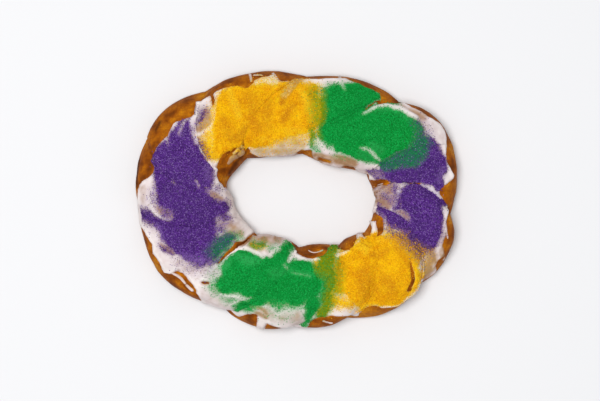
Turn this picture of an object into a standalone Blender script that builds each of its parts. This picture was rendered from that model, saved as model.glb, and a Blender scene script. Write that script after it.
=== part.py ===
"""A king cake: a twisted rope of sweet dough closed into an oval ring, with icing poured over it.

The rope is a torus whose grid lines follow the seams between the turns of the twist. Each
turn is a pillow that rises gently on its clockwise side and ends in a steep ridge on the
other. The icing is a skin that lies on the dough, with drips and bare stretches at both edges.
"""

import math

import bmesh
import bpy
import numpy as np
from mathutils import Vector, noise

# Driving dimensions, in metres.
RING_HALF_LENGTH = 0.1785
RING_HALF_WIDTH = 0.1415
RING_POWER = 2.24
HOLE_HALF_LENGTH = 0.0815
HOLE_HALF_WIDTH = 0.0465
HOLE_POWER = 2.25
HOLE_TILT = math.radians(-7.0)
HOLE_OFFSET = (0.0042, -0.0007)
CROWN_HEIGHT = 0.049
WIDEST_HEIGHT = 0.017
CROWN_POWER = 2.25
BASE_SHARE = 0.80
UNEVENNESS = 0.0012
LUMPS_PER_METRE = 24.0

# The twist. Each row is the seam at the clockwise end of one turn, and the turn after it:
# where the seam meets the outer edge and the hole's edge, in degrees round each oval,
# how deep it is, how far the outer edge stands off the oval at the seam and at the
# middle of the turn, how much higher than the common crown the turn stands, and how far
# the hole's edge stands back at the seam and at the middle of the turn.
# Between the edges a seam sweeps round as this power of its way across.
TURNS = (
    (24.0, 44.0, 0.0060, 0.0063, 0.0066, 0.0010, 0.0125, 0.0003),
    (51.0, 91.0, 0.0085, -0.0064, 0.0009, -0.0010, 0.0060, 0.0030),
    (88.0, 131.0, 0.0070, -0.0050, 0.0040, 0.0010, 0.0100, 0.0043),
    (124.5, 158.5, 0.0085, -0.0025, 0.0070, 0.0000, 0.0030, 0.0018),
    (154.0, 187.8, 0.0060, 0.0035, 0.0010, 0.0015, -0.0055, -0.0053),
    (184.2, 212.0, 0.0065, -0.0045, -0.0045, 0.0005, -0.0048, -0.0030),
    (213.0, 239.0, 0.0070, -0.0020, -0.0050, -0.0020, 0.0010, -0.0033),
    (232.6, 255.0, 0.0045, -0.0092, -0.0115, -0.0010, -0.0035, -0.0027),
    (244.5, 270.0, 0.0050, -0.0130, 0.0004, 0.0000, 0.0055, -0.0015),
    (269.0, 302.0, 0.0045, -0.0050, -0.0018, 0.0010, 0.0040, -0.0030),
    (291.0, 326.0, 0.0055, -0.0100, 0.0006, 0.0000, 0.0030, 0.0005),
    (320.5, 362.0, 0.0080, -0.0085, 0.0015, -0.0015, 0.0010, 0.0033),
    (354.0, 389.0, 0.0085, -0.0090, -0.0005, 0.0005, 0.0040, 0.0065),
)
SEAM_SWEEP = 0.8
SIDE_SEAM_SHARE = 0.75
SIDE_SLANT = 0.32
CREST = 0.60

# The grid: steps in one turn, and round the section.
TURN_STEPS = 7
CROWN_STEPS = 14
SIDE_STEPS = 3
BASE_STEPS = 2

# The icing. Its edge lies inside the rope's edge by a common margin, changed by each row:
# degrees round the oval, half the row's width in degrees, and how much barer (or, below
# zero, how much further over the edge) it leaves the dough there.
ICING_THICKNESS = 0.0018
ICING_EDGE_SHARE = 0.35
ICING_GAP = 0.0004
OUTER_MARGIN = 0.0065
OUTER_CHANGES = (
    (3.0, 8.0, 0.007),
    (22.0, 10.0, 0.004),
    (56.0, 9.0, 0.006),
    (86.0, 4.0, -0.004),
    (112.0, 15.0, 0.008),
    (140.0, 16.0, 0.010),
    (157.0, 20.0, 0.016),
    (188.0, 8.0, -0.009),
    (224.0, 12.0, 0.007),
    (240.0, 9.0, -0.011),
    (257.0, 4.0, -0.011),
    (273.0, 4.0, -0.010),
    (290.0, 4.0, -0.010),
    (320.0, 7.0, -0.010),
    (343.0, 9.0, 0.006),
    (353.0, 4.0, -0.006),
)
HOLE_MARGIN = 0.0030
HOLE_CHANGES = (
    (31.0, 9.0, 0.014),
    (94.0, 7.0, 0.006),
    (152.0, 19.0, 0.015),
    (237.0, 8.0, -0.005),
    (268.0, 5.0, -0.006),
    (281.0, 12.0, 0.013),
    (297.0, 5.0, -0.007),
    (308.0, 10.0, 0.012),
    (322.0, 4.0, -0.008),
    (338.0, 9.0, 0.013),
)

CRUST_COLOUR = (0.40, 0.16, 0.030)
ICING_COLOUR = (0.86, 0.80, 0.76)


def clear_scene():
    for item in list(bpy.data.objects):
        bpy.data.objects.remove(item)


def make_collection(name):
    collection = bpy.data.collections.new(name)
    bpy.context.scene.collection.children.link(collection)
    return collection


def plain_material(name, colour, roughness, coat):
    material = bpy.data.materials.new(name)
    material.use_nodes = True
    shader = material.node_tree.nodes["Principled BSDF"]
    shader.inputs["Base Color"].default_value = (*colour, 1.0)
    shader.inputs["Roughness"].default_value = roughness
    shader.inputs["Coat Weight"].default_value = coat
    return material


def oval_points(angle, half_length, half_width, power):
    """Points of a squarish oval at these angles round it, evenly spread as on an ellipse."""
    heading = np.arctan2(half_width * np.sin(angle), half_length * np.cos(angle))
    reach = (
        np.abs(np.cos(heading) / half_length) ** power
        + np.abs(np.sin(heading) / half_width) ** power
    ) ** (-1.0 / power)
    return np.stack([reach * np.cos(heading), reach * np.sin(heading)], axis=-1)


def outward(points):
    return points / np.linalg.norm(points, axis=-1, keepdims=True)


def ring_edge(angle, standoff):
    points = oval_points(angle, RING_HALF_LENGTH, RING_HALF_WIDTH, RING_POWER)
    return points + outward(points) * standoff[..., None]


def hole_edge(angle, notch):
    points = oval_points(angle, HOLE_HALF_LENGTH, HOLE_HALF_WIDTH, HOLE_POWER)
    points = points + outward(points) * notch[..., None]
    cos, sin = math.cos(HOLE_TILT), math.sin(HOLE_TILT)
    turned = points @ np.array([[cos, sin], [-sin, cos]])
    return turned + np.array(HOLE_OFFSET)


def section(share):
    """The rope's section for shares round it, from the outer edge over the crown.

    It gives how far across the point lies (1 outer edge, -1 hole's edge), its height as
    shares of the crown's rise and of the widest height, and how far the seam has run (0 at
    the outer edge, 1 at the hole's edge, a little past both down the sides).
    """
    steps = CROWN_STEPS + BASE_STEPS + 2 * SIDE_STEPS
    step = share * steps
    crown = np.pi * step / CROWN_STEPS
    inner = 0.5 * np.pi * (step - CROWN_STEPS) / SIDE_STEPS
    base = (step - CROWN_STEPS - SIDE_STEPS) / BASE_STEPS
    outer = 0.5 * np.pi * (steps - step) / SIDE_STEPS
    where = [
        step <= CROWN_STEPS,
        step <= CROWN_STEPS + SIDE_STEPS,
        step < CROWN_STEPS + SIDE_STEPS + BASE_STEPS,
        step <= steps,
    ]
    bend = 2.0 / CROWN_POWER
    cosine = np.cos(crown)
    crown_across = np.sign(cosine) * np.abs(cosine) ** bend
    tuck = 1.0 - BASE_SHARE
    across = np.select(where, [
        crown_across,
        -1.0 + tuck * (1.0 - np.cos(inner)),
        -BASE_SHARE + 2.0 * BASE_SHARE * base,
        1.0 - tuck * (1.0 - np.cos(outer)),
    ])
    rise = np.where(where[0], np.abs(np.sin(crown)) ** bend, 0.0)
    low = np.select(where, [
        np.ones_like(step),
        1.0 - np.sin(inner),
        np.zeros_like(step),
        1.0 - np.sin(outer),
    ])
    run = np.select(where, [
        (0.5 * (1.0 - crown_across)) ** SEAM_SWEEP,
        1.0 + SIDE_SLANT * np.sin(inner),
        (1.0 + SIDE_SLANT) - (1.0 + 2.0 * SIDE_SLANT) * base,
        -SIDE_SLANT * np.sin(outer),
    ])
    return across, rise, low, run


def pillow(along):
    """The height of a turn from one seam to the next: a gentle rise, then a steep ridge."""
    climb = 1.0 - (1.0 - np.minimum(along / CREST, 1.0)) ** 1.9
    fall = 1.0 - np.clip((along - CREST) / (1.0 - CREST), 0.0, 1.0) ** 3.6
    return climb * fall


def between(first, second, share):
    return first + (second - first) * share


def lumps(points, size, seed):
    """Gentle unevenness, from smooth noise in space."""
    return np.array([
        noise.noise(Vector((x * size, y * size, z * size + seed)))
        for x, y, z in points
    ])


def rope_surface(ring_share, section_share):
    """Points on the dough for shares round the ring and round the section.

    It also gives what the icing needs: the angle round the oval, the distance inwards over
    the surface from the outer edge and from the hole's edge, and the way inwards.
    """
    turns = np.array(TURNS)
    after = np.roll(turns, -1, axis=0)
    after[-1, :2] += 360.0
    place = ring_share * len(TURNS)
    index = np.minimum(np.floor(place + 1e-6).astype(int), len(TURNS) - 1)
    along = np.clip(place - index, 0.0, 1.0)
    along = 1.0 - (1.0 - along) ** 1.35
    here, there = turns[index], after[index]
    across, rise, low, run = section(section_share)

    seam = between(here[:, 0], here[:, 1], run)
    next_seam = between(there[:, 0], there[:, 1], run)
    angle = np.radians(between(seam, next_seam, along))

    depth = between(here[:, 2], there[:, 2], along) * (1.0 - pillow(along))
    notch = between(here[:, 3], there[:, 3], along)
    arch = np.sin(np.pi * along)
    standoff = notch + (here[:, 4] - 0.5 * (here[:, 3] + there[:, 3])) * arch
    crown = CROWN_HEIGHT + here[:, 5] * arch

    outer = ring_edge(angle, standoff)
    notch = between(here[:, 6], there[:, 6], along)
    notch += (here[:, 7] - 0.5 * (here[:, 6] + there[:, 6])) * arch
    inner = hole_edge(angle, notch)
    middle, half = 0.5 * (outer + inner), 0.5 * (outer - inner)
    half_width = np.linalg.norm(half, axis=1)

    height = WIDEST_HEIGHT * low + (crown - WIDEST_HEIGHT) * rise
    on_top = np.sqrt(rise)
    on_side = SIDE_SEAM_SHARE * (1.0 - low)
    from_spine = np.hypot(across * half_width, height - WIDEST_HEIGHT)
    shrink = 1.0 - depth * (on_top + on_side) / from_spine
    across = across * shrink
    height = np.where(
        rise > 0.0, WIDEST_HEIGHT + (height - WIDEST_HEIGHT) * shrink, height
    )
    flat = middle + half * across[:, None]
    points = np.column_stack([flat, height])
    swell = UNEVENNESS * lumps(points, LUMPS_PER_METRE, 3.0) * np.sqrt(low)
    points[:, :2] += outward(half) * (swell * across)[:, None]
    points[:, 2] += swell * rise

    drop = (1.0 - low) * WIDEST_HEIGHT
    from_outer = np.where(run < 0.0, -drop, (1.0 - across) * half_width)
    from_hole = np.where(run > 1.0, -drop, (1.0 + across) * half_width)
    under = low <= 0.0
    from_outer[under] = from_hole[under] = -RING_HALF_WIDTH
    return points, angle, from_outer, from_hole


def edge_margin(angle, margin, changes):
    """How far inside an edge the icing ends, all round the oval."""
    degrees = np.degrees(angle)
    total = np.full_like(degrees, margin)
    for centre, half_width, amount in changes:
        apart = (degrees - centre + 180.0) % 360.0 - 180.0
        bump = np.clip(1.0 - (apart / half_width) ** 2, 0.0, None)
        total += amount * bump ** 1.5
    return total


def torus_shares(mesh, major_radius):
    """Each vertex's share of the way round a torus, and round its section."""
    spots = np.empty(len(mesh.vertices) * 3)
    mesh.vertices.foreach_get("co", spots)
    x, y, z = spots.reshape(-1, 3).T
    ring = np.arctan2(y, x) / (2.0 * np.pi)
    around = np.arctan2(z, np.hypot(x, y) - major_radius) / (2.0 * np.pi)
    wrapped = [np.where(np.abs(s) < 1e-5, 0.0, s) % 1.0 for s in (ring, around)]
    return wrapped[0], wrapped[1]


def make_dough(collection):
    """The baked rope, as a torus whose points are moved on to the twist."""
    bpy.ops.mesh.primitive_torus_add(
        major_segments=len(TURNS) * TURN_STEPS,
        minor_segments=CROWN_STEPS + BASE_STEPS + 2 * SIDE_STEPS,
        major_radius=1.0,
        minor_radius=0.25,
    )
    dough = bpy.context.active_object
    dough.name = dough.data.name = "dough"
    for owner in list(dough.users_collection):
        owner.objects.unlink(dough)
    collection.objects.link(dough)

    ring_share, section_share = torus_shares(dough.data, 1.0)
    points, angle, from_outer, from_hole = rope_surface(ring_share, section_share)
    dough.data.vertices.foreach_set("co", points.ravel())
    cover = np.minimum(
        from_outer - edge_margin(angle, OUTER_MARGIN, OUTER_CHANGES),
        from_hole - edge_margin(angle, HOLE_MARGIN, HOLE_CHANGES),
    )

    body = bmesh.new()
    body.from_mesh(dough.data)
    bmesh.ops.triangulate(body, faces=body.faces)
    bmesh.ops.recalc_face_normals(body, faces=body.faces)
    body.to_mesh(dough.data)
    body.free()
    dough.data.shade_smooth()
    dough.data.materials.append(plain_material("crust", CRUST_COLOUR, 0.35, 0.3))
    return dough, cover


def make_icing(dough, cover, collection):
    """The coat: the dough's own faces inside the icing's edge, lifted off and thickened."""
    skin = bmesh.new()
    skin.from_mesh(dough.data)
    lifted = skin.verts.layers.float_vector.new("lifted")
    for vertex, reach in zip(skin.verts, cover):
        vertex[lifted] = vertex.co + vertex.normal * ICING_GAP
        vertex.co.z = reach
    bmesh.ops.bisect_plane(
        skin,
        geom=skin.verts[:] + skin.edges[:] + skin.faces[:],
        dist=0.00005,
        plane_co=(0.0, 0.0, 0.0),
        plane_no=(0.0, 0.0, 1.0),
        clear_inner=True,
    )
    reaches = [vertex.co.z for vertex in skin.verts]
    for vertex in skin.verts:
        vertex.co = vertex[lifted]
    bmesh.ops.triangulate(skin, faces=skin.faces)
    mesh = bpy.data.meshes.new("icing")
    skin.to_mesh(mesh)
    skin.free()
    icing = bpy.data.objects.new("icing", mesh)
    collection.objects.link(icing)

    body = icing.vertex_groups.new(name="body")
    for index, reach in enumerate(reaches):
        share = min(1.0, max(0.0, reach / (3.0 * ICING_THICKNESS)))
        body.add([index], share, "REPLACE")
    coat = icing.modifiers.new("coat", "SOLIDIFY")
    coat.thickness = ICING_THICKNESS
    coat.offset = 1.0
    coat.vertex_group = "body"
    coat.thickness_vertex_group = ICING_EDGE_SHARE
    mesh.shade_smooth()
    mesh.materials.append(plain_material("icing", ICING_COLOUR, 0.4, 0.1))
    return icing


def centre_over_origin(objects):
    """Moves every mesh so that the whole cake's box is centred over the origin."""
    scene_state = bpy.context.evaluated_depsgraph_get()
    corners = np.array([
        vertex.co
        for item in objects
        for vertex in item.evaluated_get(scene_state).data.vertices
    ])
    middle = 0.5 * (corners.min(axis=0) + corners.max(axis=0))
    for item in objects:
        for vertex in item.data.vertices:
            vertex.co.x -= middle[0]
            vertex.co.y -= middle[1]


def main():
    clear_scene()
    cake = make_collection("king_cake")
    dough, cover = make_dough(cake)
    icing = make_icing(dough, cover, cake)
    centre_over_origin([dough, icing])


main()
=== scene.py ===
# %% [markdown]
# # A king cake under icing and coloured sugar
# The cake is a rope of sweet dough, twisted and closed into an oval ring. White icing is
# poured over it while it cools, and coarse sugar in purple, gold and green is shaken on the
# wet icing. Each layer follows the one below it, so one fine grid over the rope carries them
# all: dough first, then the icing as a skin of changing thickness, then the beds of sugar,
# and last the loose grains.

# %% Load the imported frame
import itertools
import math

import bpy
import numpy as np
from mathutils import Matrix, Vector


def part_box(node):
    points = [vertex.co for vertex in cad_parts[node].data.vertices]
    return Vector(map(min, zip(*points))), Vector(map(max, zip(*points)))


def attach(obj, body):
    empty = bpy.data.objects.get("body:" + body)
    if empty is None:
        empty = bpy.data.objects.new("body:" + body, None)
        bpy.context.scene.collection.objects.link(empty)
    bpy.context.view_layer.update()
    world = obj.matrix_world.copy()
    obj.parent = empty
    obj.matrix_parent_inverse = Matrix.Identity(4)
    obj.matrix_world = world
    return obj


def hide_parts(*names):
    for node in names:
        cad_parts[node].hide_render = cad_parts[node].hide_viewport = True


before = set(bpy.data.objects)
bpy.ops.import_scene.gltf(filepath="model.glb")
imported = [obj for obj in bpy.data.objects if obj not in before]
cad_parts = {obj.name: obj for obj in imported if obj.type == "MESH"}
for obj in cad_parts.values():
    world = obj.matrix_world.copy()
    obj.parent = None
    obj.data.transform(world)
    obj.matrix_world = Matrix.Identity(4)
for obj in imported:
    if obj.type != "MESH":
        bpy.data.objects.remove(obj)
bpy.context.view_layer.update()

dough_low, dough_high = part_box("dough")

# %% [markdown]
# ## Paints
# Every finish on this cake is a Principled shader whose colour is mixed from noises and from
# masks that the mesh carries. Each node could be made and linked line by line, but then the
# wiring hides the recipe. So one call makes a node and feeds it, and a small class has a short
# word for each way of mixing.

# %% Nodes in one call
def feed(tree, node, inputs):
    """Sets each input to a value, or links it to a socket or to a node's first live output."""
    for label, value in inputs.items():
        if isinstance(value, bpy.types.Node):
            value = next(socket for socket in value.outputs if socket.enabled)
        if isinstance(value, bpy.types.NodeSocket):
            tree.links.new(value, node.inputs[label])
        else:
            node.inputs[label].default_value = value


def add_node(tree, kind, inputs, **settings):
    node = tree.nodes.new(kind)
    for label, value in settings.items():
        setattr(node, label, value)
    feed(tree, node, inputs)
    return node


# %% A paint
class Paint:
    """A new material, with the nodes that the cake's colours are mixed from."""

    def __init__(self, name):
        self.material = bpy.data.materials.new(name)
        self.material.use_nodes = True
        self.tree = self.material.node_tree

    def finish(self, inputs):
        """Feeds the shader itself and hands over the material."""
        feed(self.tree, self.tree.nodes["Principled BSDF"], inputs)
        return self.material

    def add(self, kind, inputs, **settings):
        return add_node(self.tree, "ShaderNode" + kind, inputs, **settings)

    def spots(self):
        return self.add("TexCoord", {}).outputs["Object"]

    def mask(self, label):
        return self.add("Attribute", {}, attribute_name=label).outputs["Fac"]

    def maths(self, operation, *terms):
        return self.add("Math", dict(enumerate(terms)), operation=operation)

    def times(self, *factors):
        return self.maths("MULTIPLY", *factors)

    def plus(self, *terms):
        return self.maths("ADD", *terms)

    def stretch(self, value, start, end, top=1.0):
        """Carries start to 0 and end to the top; values past them stay at 0 or the top."""
        span = {"Value": value, "From Min": start, "From Max": end, "To Max": top}
        return self.add("MapRange", span)

    def noise(self, scale, detail, spread):
        """Noise on the piece's own coordinates; a smaller spread gives more contrast."""
        look = {"Vector": self.spots(), "Scale": scale, "Detail": detail}
        return self.stretch(self.add("TexNoise", look), 0.5 - spread, 0.5 + spread)

    def ramp(self, share, stops):
        """Runs through a row of colours, each given with the share it stands at."""
        node = self.add("ValToRGB", {"Fac": share})
        row = node.color_ramp.elements
        row.remove(row[1])
        for index, (place, colour) in enumerate(stops):
            stop = row[0] if index == 0 else row.new(place)
            stop.position, stop.color = place, (*colour, 1.0)
        return node

    def blend(self, share, under, over):
        """Lays a share of one colour over another; three numbers also make a colour."""
        under, over = ((*c, 1.0) if isinstance(c, tuple) else c for c in (under, over))
        return self.add("Mix", {"Factor": share, "A": under, "B": over}, data_type="RGBA")

    def bump(self, source, strength, distance):
        return self.add("Bump", {"Height": source, "Strength": strength, "Distance": distance})


# %% [markdown]
# ## The view, the table and the light
# The cake is seen from straight above, lying on a white table. A long lens keeps the crown of
# the ring from leaning outwards. One wide, soft lamp high above, a little to the left, and a
# pale sky around it give even light with a short, faint shadow, as in a bright studio.

# %% Camera
CAMERA_HEIGHT = 3.0
WIDEST_HEIGHT = 0.017  # where the rope is widest
SEEN_WIDTH = 0.663  # at that height
VIEW_CENTRE = (0.0039, -0.0002)
SENSOR_MM = 36.0


def add_to_scene(name, data):
    item = bpy.data.objects.new(name, data)
    bpy.context.scene.collection.objects.link(item)
    return item


lens = bpy.data.cameras.new("overhead")
lens.sensor_width = SENSOR_MM
lens.lens = SENSOR_MM * (CAMERA_HEIGHT - WIDEST_HEIGHT) / SEEN_WIDTH
camera = add_to_scene("overhead", lens)
camera.location = (*VIEW_CENTRE, CAMERA_HEIGHT)
bpy.context.scene.camera = camera
print("lens:", round(lens.lens, 1), "mm")

# %% Table, lamp and sky
TABLE_REACH, TABLE_HEIGHT, TABLE_WHITE = 3.0, -0.0004, (0.80, 0.80, 0.81, 1.0)
LAMP_PLACE, LAMP_TILT, LAMP_SIZE, LAMP_POWER = (-0.50, 0.10, 3.4), (-1.7, -8.4, 0.0), 1.6, 98.0
SKY_COLOUR, SKY_STRENGTH = (0.97, 0.98, 1.0, 1.0), 0.40

table_mesh = bpy.data.meshes.new("table_top")
sides = ((-1, -1), (1, -1), (1, 1), (-1, 1))
corners = [(x * TABLE_REACH, y * TABLE_REACH, TABLE_HEIGHT) for x, y in sides]
table_mesh.from_pydata(corners, [], [(0, 1, 2, 3)])
white = Paint("white_table").finish({"Base Color": TABLE_WHITE, "Roughness": 0.9})
table_mesh.materials.append(white)
add_to_scene("table_top", table_mesh)

lamp = bpy.data.lights.new("overhead_softbox", "AREA")
lamp.shape, lamp.size, lamp.energy = "DISK", LAMP_SIZE, LAMP_POWER
softbox = add_to_scene("overhead_softbox", lamp)
softbox.location = LAMP_PLACE
softbox.rotation_euler = [math.radians(tilt) for tilt in LAMP_TILT]

sky = bpy.data.worlds.new("studio")
sky.use_nodes = True
daylight = {"Color": SKY_COLOUR, "Strength": SKY_STRENGTH}
feed(sky.node_tree, sky.node_tree.nodes["Background"], daylight)
bpy.context.scene.world = sky
bpy.context.scene.view_settings.view_transform = "Standard"
print("lamp:", LAMP_SIZE, "m wide,", LAMP_PLACE[2], "m up")

# %% [markdown]
# ## The twisted rope
# The baker twists a rope of dough and joins its ends. From above every turn of the twist runs
# from the outer edge inwards and round, and each turn bulges over the next one. A torus could
# be sculpted by hand, but the ring follows a rule: its grid lines run along the seams of the
# twist, and each turn is a pillow with a gentle side and a steep side. So the grid is worked
# out from the same table of turns as the solid, only much finer.

# %% The table of turns
# Half the length, half the width and the power of each oval.
RING_OVAL, HOLE_OVAL = (0.1785, 0.1415, 2.24), (0.0815, 0.0465, 2.25)
HOLE_TILT, HOLE_OFFSET = math.radians(-7.0), (0.0042, -0.0007)
CROWN_HEIGHT, CROWN_POWER = 0.049, 2.25
BASE_SHARE = 0.80
SEAM_SWEEP, SIDE_SEAM_SHARE, SIDE_SLANT, CREST = 0.8, 0.75, 0.32, 0.60

# Degrees round the outer and the hole's oval where each seam ends, its depth, how far the
# outer edge stands off at the seam and in mid-turn, how much higher the turn is, and how far
# the hole's edge stands back at the seam and in mid-turn.
TURNS = np.array((
    (24.0, 44.0, 0.0060, 0.0063, 0.0066, 0.0010, 0.0125, 0.0003),
    (51.0, 91.0, 0.0085, -0.0064, 0.0009, -0.0010, 0.0060, 0.0030),
    (88.0, 131.0, 0.0070, -0.0050, 0.0040, 0.0010, 0.0100, 0.0043),
    (124.5, 158.5, 0.0085, -0.0025, 0.0070, 0.0000, 0.0030, 0.0018),
    (154.0, 187.8, 0.0060, 0.0035, 0.0010, 0.0015, -0.0055, -0.0053),
    (184.2, 212.0, 0.0065, -0.0045, -0.0045, 0.0005, -0.0048, -0.0030),
    (213.0, 239.0, 0.0070, -0.0020, -0.0050, -0.0020, 0.0010, -0.0033),
    (232.6, 255.0, 0.0045, -0.0092, -0.0115, -0.0010, -0.0035, -0.0027),
    (244.5, 270.0, 0.0050, -0.0130, 0.0004, 0.0000, 0.0055, -0.0015),
    (269.0, 302.0, 0.0045, -0.0050, -0.0018, 0.0010, 0.0040, -0.0030),
    (291.0, 326.0, 0.0055, -0.0100, 0.0006, 0.0000, 0.0030, 0.0005),
    (320.5, 362.0, 0.0080, -0.0085, 0.0015, -0.0015, 0.0010, 0.0033),
    (354.0, 389.0, 0.0085, -0.0090, -0.0005, 0.0005, 0.0040, 0.0065),
))
OUTER_SEAM, HOLE_SEAM, SEAM_DEPTH, OUTER_AT_SEAM, OUTER_IN_TURN = range(5)
TURN_HEIGHT, HOLE_AT_SEAM, HOLE_IN_TURN = range(5, 8)
NEXT_TURNS = np.roll(TURNS, -1, axis=0)
NEXT_TURNS[-1, :2] += 360.0
print(len(TURNS), "turns")


# %% Both ovals
TINY = 1e-12  # keeps a length of nothing from being divided by


def unit(vectors):
    return vectors / np.maximum(np.linalg.norm(vectors, axis=-1, keepdims=True), TINY)


def oval_edge(angle, shift, half_length, half_width, power):
    """Points round an oval, each shifted outwards."""
    heading = np.arctan2(half_width * np.sin(angle), half_length * np.cos(angle))
    cos, sin = np.cos(heading), np.sin(heading)
    by_length, by_width = np.abs(cos / half_length), np.abs(sin / half_width)
    reach = (by_length ** power + by_width ** power) ** (-1.0 / power)
    points = np.stack([reach * cos, reach * sin], axis=-1)
    return points + unit(points) * shift[..., None]


def turned_hole(points):
    cos, sin = math.cos(HOLE_TILT), math.sin(HOLE_TILT)
    return points @ np.array([[cos, sin], [-sin, cos]]) + np.array(HOLE_OFFSET)


# %% The rope's section
COLUMNS_PER_TURN = 86
CROWN_ROWS, SIDE_ROWS, BASE_ROWS = 208, 16, 12
COLUMNS = len(TURNS) * COLUMNS_PER_TURN
ROWS = CROWN_ROWS + BASE_ROWS + 2 * SIDE_ROWS
print("fine grid:", COLUMNS, "by", ROWS)


def section(row):
    """How far across, the crown's rise, the side's height and the seam's run, for each row."""
    crown = np.pi * row / CROWN_ROWS
    inner = 0.5 * np.pi * (row - CROWN_ROWS) / SIDE_ROWS
    base = (row - CROWN_ROWS - SIDE_ROWS) / BASE_ROWS
    outer = 0.5 * np.pi * (ROWS - row) / SIDE_ROWS
    where = [
        row <= CROWN_ROWS,
        row <= CROWN_ROWS + SIDE_ROWS,
        row < CROWN_ROWS + SIDE_ROWS + BASE_ROWS,
        row <= ROWS,
    ]
    bend = 2.0 / CROWN_POWER
    over = np.sign(np.cos(crown)) * np.abs(np.cos(crown)) ** bend
    tuck = 1.0 - BASE_SHARE
    across = np.select(where, [
        over,
        -1.0 + tuck * (1.0 - np.cos(inner)),
        -BASE_SHARE + 2.0 * BASE_SHARE * base,
        1.0 - tuck * (1.0 - np.cos(outer)),
    ])
    rise = np.where(where[0], np.abs(np.sin(crown)) ** bend, 0.0)
    low = np.select(where, [
        np.ones_like(row), 1.0 - np.sin(inner), np.zeros_like(row), 1.0 - np.sin(outer),
    ])
    run = np.select(where, [
        (0.5 * (1.0 - over)) ** SEAM_SWEEP,
        1.0 + SIDE_SLANT * np.sin(inner),
        (1.0 + SIDE_SLANT) - (1.0 + 2.0 * SIDE_SLANT) * base,
        -SIDE_SLANT * np.sin(outer),
    ])
    return across, rise, low, run


# %% From one seam to the next
CLIMB_POWER, FALL_POWER, SEAM_CROWDING = 1.9, 3.6, 1.35

column, row = np.meshgrid(np.arange(COLUMNS), np.arange(ROWS), indexing="ij")
turn = column // COLUMNS_PER_TURN
along = 1.0 - (1.0 - (column % COLUMNS_PER_TURN) / COLUMNS_PER_TURN) ** SEAM_CROWDING
arch = np.sin(np.pi * along)
here, there = TURNS[turn], NEXT_TURNS[turn]


def pillow():
    climb = 1.0 - (1.0 - np.minimum(along / CREST, 1.0)) ** CLIMB_POWER
    fall = 1.0 - np.clip((along - CREST) / (1.0 - CREST), 0.0, 1.0) ** FALL_POWER
    return climb * fall


def mix(first, second, share):
    return first + (second - first) * share


def edge_shift(at_seam, in_turn):
    """How far an edge is shifted, from seam to seam by way of its value in mid-turn."""
    start, end = here[..., at_seam], there[..., at_seam]
    return mix(start, end, along) + (here[..., in_turn] - 0.5 * (start + end)) * arch


# %% The whole rope
across, rise, low, run = section(row.astype(float))
seam = mix(here[..., OUTER_SEAM], here[..., HOLE_SEAM], run)
next_seam = mix(there[..., OUTER_SEAM], there[..., HOLE_SEAM], run)
angle = np.radians(mix(seam, next_seam, along))
degrees = np.degrees(angle) % 360.0
outer = oval_edge(angle, edge_shift(OUTER_AT_SEAM, OUTER_IN_TURN), *RING_OVAL)
inner = turned_hole(oval_edge(angle, edge_shift(HOLE_AT_SEAM, HOLE_IN_TURN), *HOLE_OVAL))
middle, half = 0.5 * (outer + inner), 0.5 * (outer - inner)
half_width = np.linalg.norm(half, axis=-1)

depth = mix(here[..., SEAM_DEPTH], there[..., SEAM_DEPTH], along) * (1.0 - pillow())
crown_top = CROWN_HEIGHT + here[..., TURN_HEIGHT] * arch
height = WIDEST_HEIGHT * low + (crown_top - WIDEST_HEIGHT) * rise
from_spine = np.hypot(across * half_width, height - WIDEST_HEIGHT)
shrink = 1.0 - depth * (np.sqrt(rise) + SIDE_SEAM_SHARE * (1.0 - low)) / from_spine
across = across * shrink
height = np.where(rise > 0.0, WIDEST_HEIGHT + (height - WIDEST_HEIGHT) * shrink, height)
rope = np.dstack([middle + half * across[..., None], height])


def box_of(spots):
    return np.array([spots.reshape(-1, 3).min(0), spots.reshape(-1, 3).max(0)])


print("rope:", box_of(rope).round(4).tolist())


# %% [markdown]
# ## Two helpers: noise and strokes
# Baked dough and poured icing are uneven at every scale, so the grid needs smooth noise that
# works on a whole array at once. Where something has its own place, such as a crack, a drip
# or a shake of sugar, it is drawn as a stroke: a bent line with a changing width. The helper
# tells how far inside the stroke each point of the grid lies.

# %% Noise for whole arrays
PRIMES, MIXER, LARGEST = (73856093, 19349663, 83492791), 1274126177, 0xFFFF
SEED_SHIFT = 17.3


def soft_noise(spots, size, seed):
    """Smooth noise between -1 and 1; size is the width of one lump in metres."""
    scaled = spots.reshape(-1, 3) / size + seed * SEED_SHIFT
    corner = np.floor(scaled).astype(np.int64)
    part = scaled - corner
    part = part * part * (3.0 - 2.0 * part)
    total = np.zeros(len(scaled))
    for step in itertools.product((0, 1), repeat=3):
        key = np.bitwise_xor.reduce((corner + np.array(step)) * PRIMES, axis=1)
        key = (key ^ (key >> 13)) * MIXER + seed
        key = (key ^ (key >> 16)) & LARGEST
        weight = np.prod(np.where(step, part, 1.0 - part), axis=1)
        total += weight * (2.0 * key / LARGEST - 1.0)
    return total.reshape(spots.shape[:-1])


def layered(spots, *layers):
    """Noises on top of each other; each is its height, the size of its lumps and its seed."""
    return sum(height * soft_noise(spots, size, seed) for height, size, seed in layers)


# %% Strokes
MM = 0.001
FAR_OUTSIDE = -0.02
CURVE_STEPS = 5


def bent_line(points):
    """The stroke's points with a smooth curve put through them."""
    points = np.array(points, float) * MM
    if len(points) < 3:
        return points
    ends = np.vstack([2 * points[0] - points[1], points, 2 * points[-1] - points[-2]])
    line = []
    for a, b, c, d in zip(ends, ends[1:], ends[2:], ends[3:]):
        for t in np.arange(CURVE_STEPS) / CURVE_STEPS:
            line.append(0.5 * (2 * b + (c - a) * t + (2 * a - 5 * b + 4 * c - d) * t * t
                               + (3 * b - a - 3 * c + d) * t ** 3))
    return np.array([*line, points[-1]])


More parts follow.
